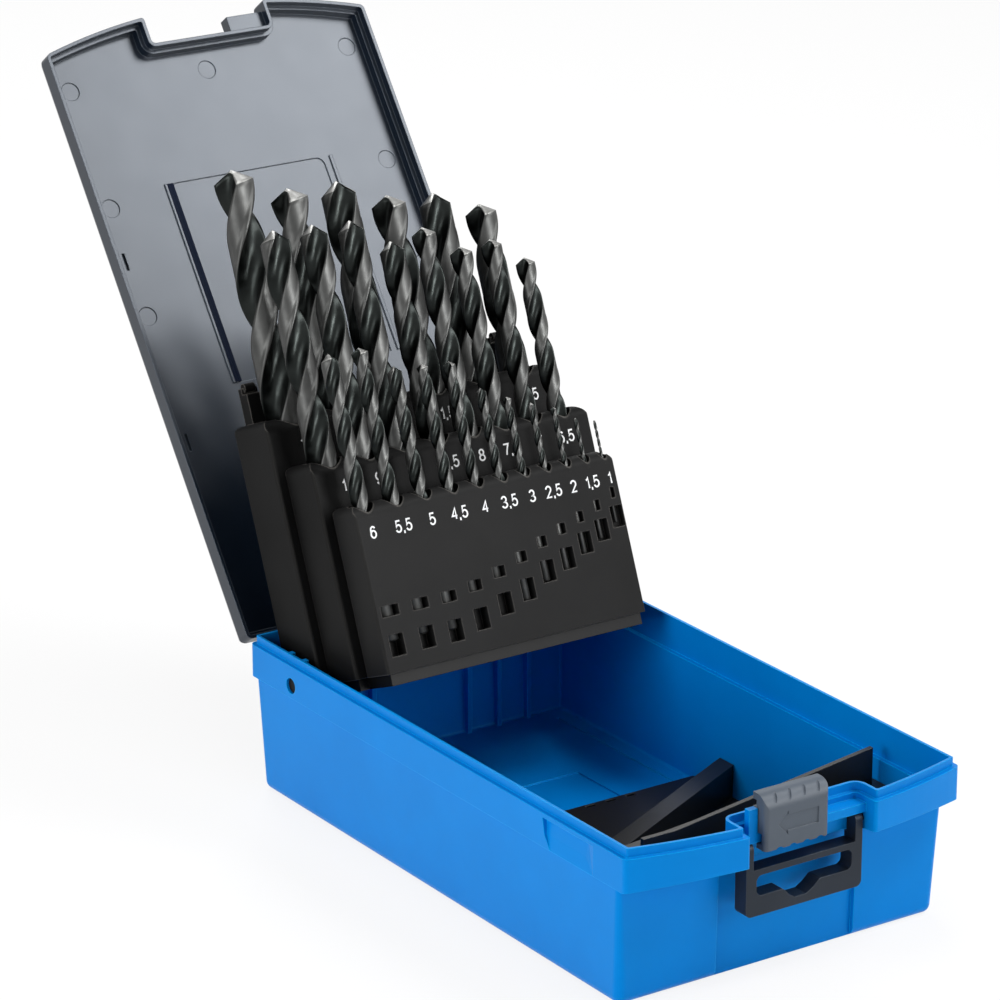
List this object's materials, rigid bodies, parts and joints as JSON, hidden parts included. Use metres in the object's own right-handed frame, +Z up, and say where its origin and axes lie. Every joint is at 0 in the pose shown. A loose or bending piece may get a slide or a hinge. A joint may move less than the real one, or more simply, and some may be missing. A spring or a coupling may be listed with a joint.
{
  "type": "drill bit case",
  "caption": "Hinged case for twist drills, shown open: base with latch and hang bail, lid, and leaning racks that lift on a pivot and hold the drills.",
  "frame": {"origin": "centre of the base's underside, at the height of the surface it rests on", "axes": "+X along the width to the right as seen from the latch end, +Y from the latch end to the hinge end, +Z up"},
  "size_m": [0.125, 0.3507, 0.2268],
  "materials": {
    "base_blue": "semi-gloss",
    "lid_dark": "semi-gloss",
    "pin_steel": "plain",
    "latch_slate": "satin",
    "bail_black": "satin",
    "retainer_black": "satin",
    "carrier_black": "satin",
    "rack_grey": "satin",
    "drill_black": "black oxide"
  },
  "bodies": {
    "base": {"base_tray": "base_blue", "tip_retainer": "retainer_black", "hinge_pin_left": "pin_steel", "hinge_pin_right": "pin_steel"},
    "lid": {"lid_shell": "lid_dark"},
    "holder": {"drill_carrier": "carrier_black", "front_rack": "rack_grey", "middle_rack": "rack_grey", "back_rack": "rack_grey", "drill_13_0": "drill_black", "drill_12_5": "drill_black", "drill_12_0": "drill_black", "drill_11_5": "drill_black", "drill_11_0": "drill_black", "drill_10_5": "drill_black", "drill_10_0": "drill_black", "drill_9_5": "drill_black", "drill_9_0": "drill_black", "drill_8_5": "drill_black", "drill_8_0": "drill_black", "drill_7_5": "drill_black", "drill_7_0": "drill_black", "drill_6_5": "drill_black", "drill_6_0": "drill_black", "drill_5_5": "drill_black", "drill_5_0": "drill_black", "drill_4_5": "drill_black", "drill_4_0": "drill_black", "drill_3_5": "drill_black", "drill_3_0": "drill_black", "drill_2_5": "drill_black", "drill_2_0": "drill_black", "drill_1_5": "drill_black", "drill_1_0": "drill_black"},
    "latch": {"latch_slider": "latch_slate"},
    "bail": {"hang_bail": "bail_black"}
  },
  "joints": [
    {"name": "holder_pivot", "type": "hinge", "parent": "base", "child": "holder", "pos_m": [0, 0.0795, 0.0439], "axis": [1, 0, 0], "range_deg": [0, 112]},
    {"name": "lid_hinge", "type": "hinge", "parent": "base", "child": "lid", "pos_m": [0, 0.1052, 0.0509], "axis": [1, 0, 0], "range_deg": [0, 126]},
    {"name": "latch_slide", "type": "slide", "parent": "base", "child": "latch", "axis": [1, 0, 0], "range_m": [0, 0.0125]},
    {"name": "bail_hinge", "type": "hinge", "parent": "base", "child": "bail", "pos_m": [0.0015, -0.1051, 0.0435], "axis": [-1, 0, 0], "range_deg": [0, 95]}
  ],
  "couplings": [
    {"joint": "lid_hinge", "follows": "holder_pivot", "ratio": 1.125}
  ]
}
